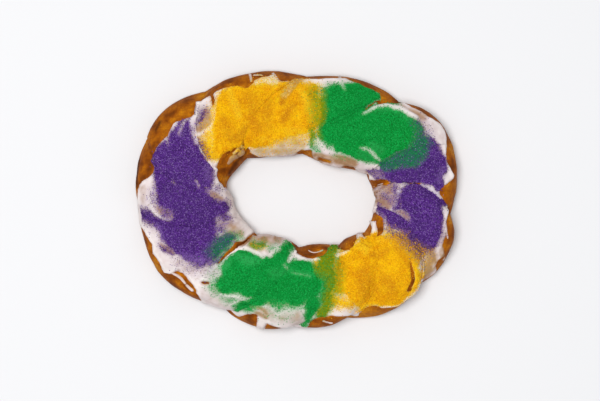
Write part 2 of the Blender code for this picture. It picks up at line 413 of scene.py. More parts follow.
def stroke_depth(x, y, points):
    """How far inside one stroke each spot lies, in metres; below zero outside."""
    line = bent_line(points)
    margin = line[:, 2].max() - FAR_OUTSIDE
    low_corner, high_corner = line[:, :2].min(0) - margin, line[:, :2].max(0) + margin
    near = (x > low_corner[0]) & (x < high_corner[0]) & (y > low_corner[1])
    near &= y < high_corner[1]
    px, py = x[near], y[near]
    best = np.full(px.shape, FAR_OUTSIDE)
    for (ax, ay, aw), (bx, by, bw) in zip(line, line[1:]):
        dx, dy = bx - ax, by - ay
        share = np.clip(((px - ax) * dx + (py - ay) * dy) / (dx * dx + dy * dy + TINY), 0.0, 1.0)
        gap = np.hypot(px - ax - share * dx, py - ay - share * dy)
        best = np.maximum(best, aw + (bw - aw) * share - gap)
    depths = np.full(x.shape, FAR_OUTSIDE)
    depths[near] = best
    return depths


def strokes_depth(x, y, strokes):
    return np.maximum.reduce([stroke_depth(x, y, points) for points in strokes])


# %% Smoothing on the grid
def smooth_step(value):
    value = np.clip(value, 0.0, 1.0)
    return value * value * (3.0 - 2.0 * value)


def blurred(field, passes, reach=1):
    """The field averaged with neighbours so many steps away on the grid, some times over."""
    for _ in range(passes):
        for axis in (0, 1):
            both_sides = np.roll(field, reach, axis) + np.roll(field, -reach, axis)
            field = (2.0 * field + both_sides) / 4.0
    return field


def grid_normals(spots):
    steps = [np.roll(spots, -1, axis) - np.roll(spots, 1, axis) for axis in (0, 1)]
    return unit(np.cross(*steps))


# %% [markdown]
# ## The baked dough
# A crust is not smooth: it has broad swells, fine wrinkles from the rising dough, a crack or
# two where a turn has torn, and hollows where it sank. Each could be sculpted, but noise and
# strokes keep it adjustable. Broad noise moves the grid along its normals, finer noise
# wrinkles it, and strokes cut the cracks and hollows.

# %% Cracks, hollows and leaks
# Each stroke is a row of points: x, y and half the width, all in millimetres.
CRACKS = (
    ((-166, 69, 1.2), (-161, 57, 1.6), (-156, 43, 1.4)),
    ((-173, 47, 1.2), (-176, 30, 1.4), (-175, 14, 1)),
    ((-108, 106, 1), (-115, 95, 1.3), (-117, 87, 1)),
    ((-51, 60, 3), (-57, 56, 3.5), (-62, 50, 2.5)),
    ((-44, -38, 1), (-55, -45, 1.6), (-63, -50, 2)),
    ((-127, -92, 1), (-117, -99, 1.3), (-109, -104, 1)),
    ((129, 59, 1), (119, 50, 1.6), (104, 43, 1.6), (92, 39, 2), (84, 36, 2)),
)
HOLLOWS = (
    ((-54, 62, 6), (-68, 50, 8), (-79, 36, 7)),
    ((-151, 86, 5), (-146, 80, 4)),
    ((10, -54, 5), (24, -55, 5)),
)
LEAKS = (
    ((-150, 86, 1.8), (-154.5, 77, 1.6)),
    ((-173, 46, 1.6), (-176, 30, 1.8), (-176, 14, 1.2)),
    ((-103, -90, 1.2), (-97, -90.5, 1.4)),
    ((-74, 30, 1.5), (-66, 42, 1.8), (-56, 53, 1.8)),
)
print(len(CRACKS), "cracks,", len(HOLLOWS), "hollows,", len(LEAKS), "leaks")

# %% Relief of the crust
CRACK_DEPTH, HOLLOW_DEPTH = 0.0016, 0.0022
FULL_RELIEF_HEIGHT = 0.004


def inside_strokes(strokes, width, start):
    """0 outside the strokes, rising to 1 over a width; start is its share at their edge."""
    return smooth_step(strokes_depth(flat_x, flat_y, strokes) / width + start)


flat_x, flat_y = rope[..., 0], rope[..., 1]
lift = layered(rope, (0.0012, 0.034, 3), (0.0006, 0.013, 4), (0.00022, 0.0045, 5))
lift -= CRACK_DEPTH * inside_strokes(CRACKS, 0.0015, 0.3)
lift -= HOLLOW_DEPTH * inside_strokes(HOLLOWS, 0.005, 0.2)
lift = lift * np.sqrt(low) * np.clip(height / FULL_RELIEF_HEIGHT, 0.0, 1.0)
dough = rope + grid_normals(rope) * lift[..., None]
off_middle = 0.5 * (np.add(dough_low, dough_high) - box_of(dough).sum(0))
dough[..., :2] += off_middle[:2]
flat_x, flat_y = dough[..., 0], dough[..., 1]
dough_normals = grid_normals(dough)
print("dough:", box_of(dough).round(4).tolist())


# %% Meshes from the grid
def ring_faces(columns, rows):
    """Four corners for each face of a grid that closes both ways."""
    i, j = np.meshgrid(np.arange(columns), np.arange(rows), indexing="ij")
    after_i, after_j = (i + 1) % columns, (j + 1) % rows
    corners = [(i, j), (after_i, j), (after_i, after_j), (i, after_j)]
    return np.stack([a * rows + b for a, b in corners], axis=-1)


def write_mask(mesh, label, values):
    mesh.attributes.new(label, "FLOAT", "POINT").data.foreach_set("value", values)


def make_mesh(name, spots, faces, masks):
    mesh = bpy.data.meshes.new(name)
    mesh.from_pydata(spots.reshape(-1, 3).tolist(), [], faces.reshape(-1, 4).tolist())
    for label, field in masks.items():
        write_mask(mesh, label, field.ravel())
    mesh.shade_smooth()
    return mesh


def every_second(field):
    return field[::2, ::2]


# %% Masks for the crust's colour
RING_REACH = 0.16  # about half the ring's length
SEAM_PALER, TABLE_DARKER, CRACK_SHADE, LEAK_DARKER = 0.10, 0.30, 0.4, 0.8
OPEN_SEAM, DARK_FOOT = 0.006, 0.014  # how deep a fully pale seam is, how high the dark foot is
across_rope = (across * half_width)[..., None]
rope_way = np.dstack([np.cos(angle), np.sin(angle), across_rope])


def streaks(across_scale, size, seed):
    """Noise drawn out along the rope, or across it where the scale is small."""
    return soft_noise(rope_way * (RING_REACH, RING_REACH, across_scale), size, seed)


in_seam = smooth_step(blurred(depth, 6) / OPEN_SEAM)
# Darker towards the table: partly browning on the tray, partly painted shade at the foot.
near_table = 1.0 - smooth_step(dough[..., 2] / DARK_FOOT)
paleness = 0.48 + 0.42 * streaks(2.2, 0.012, 6)
paleness += layered(dough, (0.32, 0.019, 7), (0.34, 0.0070, 8))
paleness += SEAM_PALER * in_seam - TABLE_DARKER * near_table
# Painted shade in the cracks.
paleness -= CRACK_SHADE * inside_strokes(CRACKS, 0.002, 0.5)
leaks = LEAK_DARKER * inside_strokes(LEAKS, 0.003, 0.45)
crust_masks = {"paleness": np.clip(paleness, 0.0, 1.0), "leaks": leaks}

coarse = every_second(dough)
crust_mesh = make_mesh(
    "baked_dough", coarse, ring_faces(*coarse.shape[:2]),
    {label: every_second(field) for label, field in crust_masks.items()},
)
baked_dough = add_to_scene("baked_dough", crust_mesh)
print("baked_dough:", 2 * len(crust_mesh.polygons), "triangles")

# %% [markdown]
# ## Finish of the crust
# The dough was brushed with egg and baked to an orange-brown skin: a little paler in the seams
# that opened as it rose, darker near the table, partly from the tray and partly as painted
# shade, and almost black where sugar leaked and burnt. One flat brown would look like plastic.
# So noises of different sizes mix the browns, masks from the grid add the seams, painted shade
# in the cracks and the leaks, and a trace of clear coat gives the egg's sheen.

# %% The crust
CRUST_COLOURS = (
    (0.0, (0.085, 0.020, 0.0015)), (0.28, (0.230, 0.053, 0.0015)), (0.52, (0.385, 0.104, 0.0018)),
    (0.78, (0.540, 0.179, 0.0028)), (1.0, (0.690, 0.275, 0.0060)),
)
CRUST_DARK, CRUST_BURNT = (0.150, 0.042, 0.0040), (0.065, 0.017, 0.0045)

crust = Paint("egg_washed_crust")
flecks = crust.times(crust.noise(210.0, 4.0, 0.22), 0.30)
browns = crust.plus(crust.times(crust.mask("paleness"), 0.72), flecks)
speckle = crust.times(crust.noise(430.0, 3.0, 0.20), 0.50)
colour = crust.blend(speckle, crust.ramp(browns, CRUST_COLOURS), CRUST_DARK)
wrinkles = crust.bump(crust.noise(300.0, 4.0, 0.3), 0.35, 0.0008)
crust_mesh.materials.append(crust.finish({
    "Base Color": crust.blend(crust.mask("leaks"), colour, CRUST_BURNT),
    "Roughness": 0.7, "Specular IOR Level": 0.06,
    "Coat Weight": 0.03, "Coat Roughness": 0.3, "Normal": wrinkles,
}))
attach(baked_dough, "root")
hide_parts("dough")
print("crust colours mixed")

# %% [markdown]
# ## The poured icing
# Runny icing spreads over the warm rope, rounds off at its edge, fills the seams a little and
# leaves the crust bare where it didn't reach. A fluid simulation would be overkill: what
# matters is how far inside its edge each point lies. That distance comes from a table of bare
# widths round both edges, from bare patches and from thin strings, roughened with noise. It
# sets the skin's height, and where it falls below zero the skin dives under the crust.

# %% How wide the rims are bare
# Degrees round the oval, and millimetres of bare dough inside the edge there. Below zero the
# icing runs over the edge and down the side.
OUTER_BARE = (
    (0, 10), (3, 13), (5, 16), (7, 15.5), (8.5, 13), (9.5, 9), (10.5, 5), (12, 3.6), (14, 5.5),
    (16, 7.7), (18, 9.5), (20, 10.2), (22, 9.4), (24, 8.6), (26, 7), (28, 4.5), (30, 2.5), (32, 1.3),
    (34, 1.4), (36, 3), (38, 4.8), (40, 5.7), (42, 5.8), (44, 6.5), (46, 6.5), (48, 5),
    (51, 2.5), (53, 6), (55, 10.5), (56, 11.5), (57, 10), (59, 4.2), (62, 5), (65, 6),
    (67, 4.2), (69, 4), (71, 3.5), (73, 1.6), (75, 2.8), (77.5, 4), (80, 5.2), (82, 5.8),
    (84.5, 5.5), (87, 4), (88, 2.6), (90, 4.4), (92, 6.8),
    (95, 7.6), (97, 7.6), (98.2, 0), (99.2, 3.5), (102, 5), (105, 8), (107, 12), (109, 16.5),
    (110.5, 16.5), (112, 13), (115, 11.5), (118, 10.5), (124.5, 10.5), (127, 9.5),
    (129, 10), (131, 15), (133, 18.5), (136, 19.3), (139, 18.5), (141, 16.5), (143, 18),
    (145, 20.5), (148, 23), (151, 21.5), (154, 20), (157, 19), (160, 16.5), (162, 17.5),
    (163.5, 22.5), (165.5, 22), (167, 21), (168.5, 18.5), (169.5, 16), (170.5, 11), (171.5, 8),
    (173, 6), (176, 3.5), (179, 2),
    (182, -1), (187, -4), (191, 0), (193, 1.6), (195, 3.4), (198, 5.2), (201, 7), (203, 6.2),
    (205, 4.2), (208, 6.3), (210, 6.7), (213, 5), (215, 6), (217, 10.5), (219, 15), (220.5, 16),
    (222, 14.5), (225, 10), (227, 7), (229, 9), (231, 6), (232.5, 1), (234, -3),
    (246.5, -3), (248, -1), (250, 3.5), (252, 7.5), (254, 10), (255.3, 11), (256, 0), (257, -7),
    (258.2, -5), (259, 6.5), (261, 5.5), (263, 3.5), (265, 2), (267, 0), (270, -3), (272, -9),
    (273.6, -1), (275, 6), (277, 9), (279, 11), (282, 11.5), (284, 11.5), (286, 9), (288, 6),
    (290, 3), (291, 0.5), (292, -4), (293.2, -1), (294, 3), (296, 5.6), (298, 7.4), (300, 8.4),
    (302, 6.6), (304, 3.8), (307, 1.8), (311, 2.4), (315, 1.3), (319, 1), (321, -2), (327, -3),
    (329, 3.5), (332, 4), (333.5, 0), (335, 3), (337, 6.5), (339, 10.6), (342, 12.6), (345, 11.8),
    (348, 12.5), (351, 14), (353.5, 12), (355, 8), (357, 5.4), (358.5, 7),
)
HOLE_BARE = (
    (0, -3), (10, -2), (18, 0.5), (24, 3), (33, 2), (38, 0), (52, -1), (54.5, 3.6), (60, 4),
    (63, 0), (72, -0.5), (84, -1), (86.5, 6), (91, 5.5), (95, 2), (98, -1), (115, -1), (124, 0),
    (127, 5), (131, 10), (140, 10), (160, 9), (168, 4.5), (174, 1), (179, -2), (190, -4),
    (215, -4), (232, -3), (236.5, 0), (238, 3), (240, -1), (250, -4), (265, -4), (269, 1),
    (271, 4), (276, 8), (290, 8), (294, 4), (296, -4), (301, -4), (303, 3), (306, 8), (311, 9),
    (317, 6.5), (321, 3), (323, -2), (325, -3), (327, 3), (331, 5), (336, 5), (339, 2),
    (341, -4), (344.5, -3), (346.5, 5), (351, 6), (355, 3), (357, -1),
)
print(len(OUTER_BARE) + len(HOLE_BARE), "widths round both rims")

# %% Bare patches and strings
# Strokes again: x, y and half the width, in millimetres.
BARE_PATCHES = (
    ((-56, 54, 5), (-68, 49, 8), (-76, 42, 9), (-80, 32, 8), (-81, 24, 5), (-80, 17, 2)),
    ((15, 53.5, 1.9), (8, 54, 2.4), (1, 53, 0.8)),
    ((37, 42.5, 0.9), (31, 44, 1.1), (25, 45.3, 0.8)),
    ((84, 19, 4), (93, 19, 5), (101, 20, 2.6)),
    ((87, -15, 1.5), (90, -20, 3.2), (92, -26, 4), (92, -33, 3), (89, -39, 1.2)),
    ((80, -26, 1.5), (80, -30, 3), (79, -36, 3.2), (76, -40, 2)),
    ((48, -52, 2.5), (55, -51, 5), (59, -46, 4.6), (63, -40, 3.5), (65, -37, 1.5)),
    ((0, -56, 2.5), (10, -57, 6), (20, -55, 8.3), (29, -53, 6), (35, -50, 2)),
    ((-46, -37, 1), (-55, -44, 1.3), (-61, -47.5, 2), (-66, -50.5, 3), (-72, -55.5, 1.9),
     (-79, -62, 1.4), (-85, -69, 0.9)),
    ((-53, 48, 1), (-57, 57, 1.3), (-59, 65, 1)),
    ((124.5, -66, 0.8), (127, -77, 2), (127.5, -87, 2.7), (123, -98, 2.2)),
    ((-103, -90, 1.2), (-97, -90.5, 1.4)),
    ((113, 109.5, 2.2), (106, 109.5, 3.6), (98, 109, 3.9), (92, 107.6, 3.4), (86.5, 106, 2.7),
     (80, 103.2, 2), (75, 100, 1.2)),
    ((-93, 117, 2.2), (-92, 109, 2), (-91, 102, 0.8)),
    ((-137, -84, 2), (-130, -82.5, 5.5), (-122, -90.5, 5), (-113, -100.5, 3.6)),
    ((118, 20.5, 0.6), (127, 19.2, 1.3), (136, 18, 0.8)),
    ((154, -73, 1.3), (158, -68, 2), (161, -63, 1.2)),
)
STRINGS = (
    ((-51, 139, 0.9), (-49.5, 131, 1)),
    ((-47, 137.5, 0.5), (-38, 137, 0.4)),
    ((46.5, 140, 0.8), (49, 133, 1.2)),
    ((163, -28, 0.9), (166, -42, 0.7)),
    ((-137, -79, 1.1), (-128, -85, 1.4), (-123, -91, 1.2)),
    ((-121, -93, 1.4), (-114, -99, 1.5)),
    ((87, 9, 5), (97, 11, 5.5), (104, 3, 5)),
    ((67, -31, 2.2), (69, -38, 2.6), (70, -46, 4)),
    ((85, -25, 1.6), (86, -34, 1.6), (84, -45, 3)),
    ((99, -26, 1.2), (98.5, -34, 1.5), (97, -41, 2)),
    ((29, -132, 0.6), (39, -134.5, 0.6)),
    ((13, -55, 0.5), (19, -57, 0.6), (29, -54.5, 0.5)),
    ((43.5, -45, 4), (41, -53, 4.5), (38, -60, 5)),
    ((-75, 41, 1), (-70, 46.5, 2.6), (-65, 48, 1.8), (-60.5, 53.5, 2.8)),
    ((-69, 52, 1.6), (-64, 56, 1.4)),
)
print(len(BARE_PATCHES), "bare patches and", len(STRINGS), "strings")


# %% How far inside its edge the icing lies
# Shares of the side's height where drips end, and where no icing and no string is left.
OUTER_DRIP_END, HOLE_DRIP_END, LOWEST_ICING, LOWEST_STRING = 0.92, 0.25, 0.02, 0.1
STRING_OVERLAP = 0.003  # a string ends this far inside the icing's edge

flow_x, flow_y = (
    flat + 0.0011 * soft_noise(dough, 0.009, seed) for flat, seed in ((flat_x, 17), (flat_y, 18))
)


def around(table, at):
    """The table's value at each angle, joined up round the oval."""
    rows = np.array(table, float)
    return np.interp(at, rows[:, 0], rows[:, 1], period=360.0) * MM


down_side = (1.0 - low) * WIDEST_HEIGHT
outer_rim, hole_rim = across[:, :1], across[:, CROWN_ROWS:CROWN_ROWS + 1]
from_outer = np.where(run < 0.0, -down_side, (outer_rim - across) * half_width)
from_hole = np.where(run > 1.0, -down_side, (across - hole_rim) * half_width)
ragged = layered(dough, (0.0006, 0.0065, 11), (0.0005, 0.0026, 12))
cover = np.minimum(
    from_outer - around(OUTER_BARE, degrees), from_hole - around(HOLE_BARE, degrees)
)
cover = np.minimum(cover, -strokes_depth(flow_x, flow_y, BARE_PATCHES)) + ragged
in_string = strokes_depth(flow_x, flow_y, STRINGS) + 0.5 * ragged
string_cover = np.minimum(in_string, STRING_OVERLAP - cover)
cover[low < LOWEST_ICING] = FAR_OUTSIDE
uneven = HOLE_DRIP_END + 0.2 * soft_noise(dough * (1.0, 1.0, 0.0), 0.03, 18)
drip_end = (low - np.where(run < 0.0, OUTER_DRIP_END, uneven)) * WIDEST_HEIGHT
string_cover = np.where(low < 1.0, np.minimum(string_cover, drip_end), string_cover)
string_cover[low < LOWEST_STRING] = FAR_OUTSIDE
print("icing covers", round(float((cover[:, :CROWN_ROWS] > 0).mean()), 2), "of the crown's grid")

# %% [markdown]
# ## Ridges and thin places
# Where a spoon pushed the icing or two streams met, it set in low ridges, and where it ran off
# the crowns it is so thin that the crust shows through. Sculpting would do, but strokes keep
# each ridge a line of numbers that can be moved. They thicken or thin the skin, noise does the
# rest, and the skin also sags level over narrow seams.
# A few of the thin places are painted shade in hollows and on lower slopes.

# %% Ridges
# x, y and half the width, in millimetres.
RIDGES = (
    ((74, 94, 2.3), (81, 98.5, 2.6), (88, 101.5, 2.5), (98, 103.3, 2.5), (107, 100.8, 3.4),
     (113, 99.5, 3.5), (120, 97, 2.6), (131, 91.5, 2.4)),
    ((46, 132, 2), (50, 127, 2.9), (53, 121, 2)),
    ((71, 58.5, 1.6), (79, 56.5, 2.4), (84, 52, 2.6), (88.5, 46.5, 2.4), (92, 44, 1.8)),
    ((117, 16, 1.3), (124, 19, 1.5), (137, 18, 1.9), (147, 13, 1.8), (155, 6, 1.7), (160.5, -0.5, 1.9),
     (164.5, -11, 1.9), (163.5, -20, 1.6)),
    ((117, 17, 0.4), (112, 5, 0.5), (109, -6, 0.5)),
    ((-96, 111, 1.6), (-107, 104, 1.6), (-110, 99, 1.8), (-116, 85, 2.2),
     (-115, 75, 1.8), (-111, 63, 1.8)),
    ((-88, 108, 0.8), (-88.5, 98, 0.6), (-90.5, 88, 0.7), (-96, 78, 1.2), (-106, 72.5, 1.4)),
    ((-110, 66, 2.2), (-103, 55, 2), (-96, 45, 1.9), (-90, 36, 1.6), (-85, 30, 1.6)),
    ((-125, 91, 1), (-131, 87, 1.8), (-137, 82, 2.5), (-140, 76, 1.9), (-139, 71, 1.2)),
    ((-122, 93, 1.2), (-116.5, 96, 2)),
    ((-142, 67, 1.5), (-140, 60.5, 1.1)),
    ((-121, 89, 1.2), (-125.5, 82, 2), (-128, 73, 1.3)),
    ((-110.5, 21.5, 1.2), (-107, 14.5, 1.1)),
    ((-134, 22, 0.8), (-132, 17, 0.8)),
    ((-158, -5, 1.2), (-156, -12, 1.4), (-149, -18, 1.5), (-140, -20, 1.3), (-135, -19, 1)),
    ((-84.5, -82, 1), (-81, -72, 1.3), (-75, -61, 1.6), (-68, -54, 1.9), (-57, -52.5, 1.9),
     (-46, -56, 2), (-37, -62, 2.2)),
    ((-10, -68, 1.3), (-8, -62.5, 2), (-3, -59.5, 2.2), (8, -61.5, 2), (18, -64, 1.6), (26, -65.5, 1.3)),
    ((136, -58, 1.2), (137, -74, 1.8), (135.5, -88, 2), (130, -98, 2), (119, -109, 1.8),
     (110, -114.5, 1.6), (92, -117.5, 1.4), (79, -122, 1.4)),
    ((44, -61, 1.5), (51, -60, 2), (58, -56, 1.6)),
    ((63, -50, 1), (69, -46, 1.2)),
    ((160, 60, 1.2), (163, 52, 1.4), (165.5, 41, 1.8), (170.5, 30, 2.6), (171, 22, 2.2), (164, 18, 1.5)),
    ((-15, -71, 1.2), (-9, -76, 1.1)),
    ((-4, -80, 0.7), (5, -81, 0.9), (15, -82.4, 0.8)),
    ((-84, -103, 1.6), (-74, -105, 2), (-62, -106.5, 1.5)),
)
print(len(RIDGES), "ridges")

# %% Thin places and painted shade
# Strength, softness of the edge in millimetres, and the stroke; the strokes marked as painted shade are
# not thin icing.
THIN_AND_SHADED_PLACES = (
    (1, 2.5, ((4, 134, 3), (-5, 124, 3.5), (-13, 115, 4))),
    (0.5, 3, ((8, 128, 2), (14, 126, 2))),
    (0.75, 3, ((17, 49, 3.5), (30, 47, 4), (44, 44, 4), (60, 38, 4))),
    (0.42, 3.5, ((-48, 52, 5), (-30, 53, 5), (-10, 53, 5), (4, 55, 4))),
    (0.35, 4, ((-20, 63, 5), (-4, 65, 6), (8, 64, 5))),
    (0.75, 3, ((90, 9, 4), (97, 12, 4.5), (104, 6, 5), (106, -2, 4))),
    (0.9, 4, ((88, 13, 3), (92, 2, 6), (100, -4, 6))),
    (0.9, 2, ((100, 12, 2), (104, 15, 3), (107, 20, 2))),
    (0.6, 4, ((112, 104, 2), (126, 96, 4), (138, 92, 5))),
    (0.4, 3, ((80, 31, 4), (92, 28, 5))),
    (0.7, 2.5, ((-98, 12, 3), (-90, 5, 4), (-85, 1, 4))),
    (0.6, 5, ((-86, -22, 3), (-77, -29, 7), (-62, -36, 5))),
    (0.75, 2.5, ((-150, -8, 3), (-143, -13, 4.5), (-138, -15, 4))),
    # Painted shade: a dark patch between the purple sugar and the icing.
    (0.9, 2, ((-147, -49, 2), (-141, -53, 3.2), (-136, -57, 2.5))),
    (0.5, 4, ((-52, -44, 4), (-36, -44, 5), (-20, -44, 5))),
    (0.4, 3, ((-62, -47, 3), (-48, -50, 3), (-36, -54, 3))),
    (0.6, 3, ((40, -102, 3), (52, -106, 5))),
    (0.9, 2, ((-50, -116, 1.5), (-39, -118, 2.5), (-32, -125, 2))),
    (0.45, 4, ((-30, -111, 3), (-12, -113, 4))),
    # Painted shade on the icing's lower slope.
    (0.35, 5, ((-27, -125, 5), (0, -128, 6))),
    (0.8, 2, ((-70, -45, 2), (-62, -47, 2), (-52, -46, 2))),
    (1, 3, ((146, -58, 5), (148, -68, 7), (143, -80, 5))),
    (0.7, 3, ((-95, 42, 3), (-91, 36, 3))),
    (1, 2, ((136, -63, 1.5), (138, -73, 2), (140, -88, 2))),
    # Painted shade in the hollow between a tongue of icing and a ridge.
    (1, 2.5, ((-98, 98, 3), (-97, 90, 4.5), (-99, 83, 4.5), (-104, 78, 3))),
    (0.25, 3, ((-169, 12, 4), (-167, 0, 4))),
    (0.9, 2, ((122, -19, 2), (117, -13, 2.5), (112, -12, 2))),
    (0.55, 2.5, ((164, -22, 2), (161, -38, 3), (157, -48, 3))),
    (0.8, 2.5, ((161, -50, 3.5), (160, -60, 4))),
    # Painted shade: dark lines above a drip.
    (1, 2, ((-44, -122, 2.5), (-38, -126, 2.5), (-33, -129, 1.5))),
    (0.9, 2.5, ((44, 48, 3), (55, 46, 3.5), (64, 42, 3))),
    (0.9, 3, ((-76, 38, 3), (-68, 46.5, 5), (-59, 54, 5))),
)


def soft_strokes(places, x, y, shift=0.0, fading=1.0):
    """The strongest of several strokes with soft edges, from 0 to 1."""
    field = np.zeros_like(x)
    for strength, softness, points in places:
        inside = (stroke_depth(x, y, points) + shift) / (2.0 * softness * fading * MM)
        field = np.maximum(field, strength * smooth_step(0.5 + inside))
    return field


thin_and_shaded = soft_strokes(THIN_AND_SHADED_PLACES, flow_x, flow_y)
print(len(THIN_AND_SHADED_PLACES), "thin places")


# %% The skin's thickness
ICING_DEPTH, EDGE_RADIUS, DEEPEST_SAG = 0.0012, 0.0024, 0.0065
STRING_DEPTH, STRING_RADIUS = 0.0011, 0.0015
ICING_BURIED, STRING_BURIED = 0.0009, 0.0006
RIM_HEIGHT, RIDGE_HEIGHT, DRIP_HEIGHT, DAB_HEIGHT = 0.0004, 0.0013, 0.00035, 0.00018
SAG_START, FILLED_SHARE = 0.0010, 0.9  # filling starts where the crust is this far above level


def skin_lift(inside, radius, thick, buried):
    """A skin with a round edge; outside the edge it dives until it's buried in the crust."""
    edge_round = np.sqrt(1.0 - (1.0 - np.clip(inside / radius, 0.0, 1.0)) ** 2)
    return np.where(inside > 0.0, thick * edge_round, np.maximum(0.7 * inside, -buried))


ridge_depth = strokes_depth(flow_x, flow_y, RIDGES)
ridge = smooth_step(ridge_depth / 0.0030 + 0.35)
drips = streaks(0.30, 0.0055, 19)
mottle = layered(dough, (0.45, 0.014, 14), (0.35, 0.0052, 16)) + 0.45 * drips
near_edge = np.exp(-np.maximum(np.maximum(cover, string_cover), 0.0) / 0.0013)
rim_roll = np.exp(-((cover - EDGE_RADIUS) / 0.0015) ** 2)
# The painted-shade strokes among the thin places darken the icing just as thin icing does.
thin = thin_and_shaded * (1.0 + 0.4 * mottle) + 0.45 * near_edge - 0.25 * rim_roll
thin = np.clip(thin + 0.19 + 0.34 * mottle, 0.0, 1.0) * (1.0 - 0.85 * ridge)
thickness = ICING_DEPTH * (1.0 + 0.3 * soft_noise(dough, 0.012, 13)) * (1.0 - 0.5 * thin)
dabs = DAB_HEIGHT * soft_noise(dough, 0.004, 15)
thickness += RIM_HEIGHT * rim_roll + RIDGE_HEIGHT * ridge + DRIP_HEIGHT * drips + dabs
lift_normals = unit(blurred(dough_normals, 12))
levelled = blurred(blurred(dough, 10), 30, reach=3)
sag = np.clip(((levelled - dough) * lift_normals).sum(-1) + SAG_START, 0.0, DEEPEST_SAG)
icing_lift = skin_lift(cover, EDGE_RADIUS, thickness + FILLED_SHARE * sag, ICING_BURIED)
string_lift = skin_lift(string_cover, STRING_RADIUS, STRING_DEPTH, STRING_BURIED)
surface_lift = np.maximum(np.maximum(icing_lift, string_lift), 0.0)
surface = dough + lift_normals * surface_lift[..., None]
print("icing:", round(float(thickness[cover > 0].mean() * 1000), 2), "mm thick on average")


# %% A closed coat from part of the grid
def without_corner_joins(wanted):
    """Fills faces that meet the rest at one corner only, so that the coat's rim stays simple."""
    while True:
        a, b = wanted, np.roll(wanted, -1, 0)
        c, d = np.roll(wanted, -1, 1), np.roll(wanted, (-1, -1), (0, 1))
        crossed = (a & d & ~b & ~c) | (b & c & ~a & ~d)
        if not crossed.any():
            return wanted
        for i, j in itertools.product((0, 1), repeat=2):
            wanted = wanted | np.roll(crossed, (i, j), (0, 1))


coat_spots = {}


def make_coat(name, top, under, inside):
    """A closed skin where any corner of a grid face is inside: its top, its underside and a rim."""
    wanted = inside.copy()
    for i, j in ((1, 0), (0, 1), (1, 1)):
        wanted |= np.roll(inside, (-i, -j), (0, 1))
    wanted = without_corner_joins(wanted)
    faces = ring_faces(*wanted.shape)[wanted]
    used, corners = np.unique(faces, return_inverse=True)
    faces = corners.reshape(-1, 4)
    count = len(used)
    starts, ends = faces.ravel(), np.roll(faces, -1, axis=1).ravel()
    alone = ~np.isin(starts * count + ends, ends * count + starts)
    a, b = starts[alone], ends[alone]
    rim = np.stack([b, a, a + count, b + count], axis=-1)
    all_faces = np.vstack([faces, faces[:, ::-1] + count, rim])
    spots = np.vstack([top.reshape(-1, 3)[used], under.reshape(-1, 3)[used]])
    coat_spots[name] = used
    print(name + ":", 2 * len(all_faces), "triangles")
    return add_to_scene(name, make_mesh(name, spots, all_faces, {}))


def add_mask(piece, label, field):
    """The grid's field as an attribute of a coat made from that grid."""
    write_mask(piece.data, label, np.tile(field.ravel()[coat_spots[piece.name]], 2))


# %% The icing's skin and its strings
UNDER_ICING, BURIED_EDGE = 0.0014, -0.0010
underneath = dough - dough_normals * UNDER_ICING
icing_coat = make_coat(
    "icing_coat", every_second(dough + lift_normals * icing_lift[..., None]),
    every_second(underneath), every_second(cover) > BURIED_EDGE,
)
icing_strings = make_coat(
    "icing_strings", dough + lift_normals * string_lift[..., None],
    underneath, string_cover > BURIED_EDGE,
)

# %% [markdown]
# ## Shakes of coloured sugar
# Coarse sugar was shaken on the wet icing in three colours, in bands that follow the turns of
# the rope. It lies thick in the middle of a shake and thins out to single crystals at its
# edge, and where two colours meet they mix. Each shake is a stroke with a strength and a soft
# edge, and together they say what share of each spot every colour covers. Where the share is
# high the sugar becomes a low bed with a granular top. Ridges that ran down later stay clean.

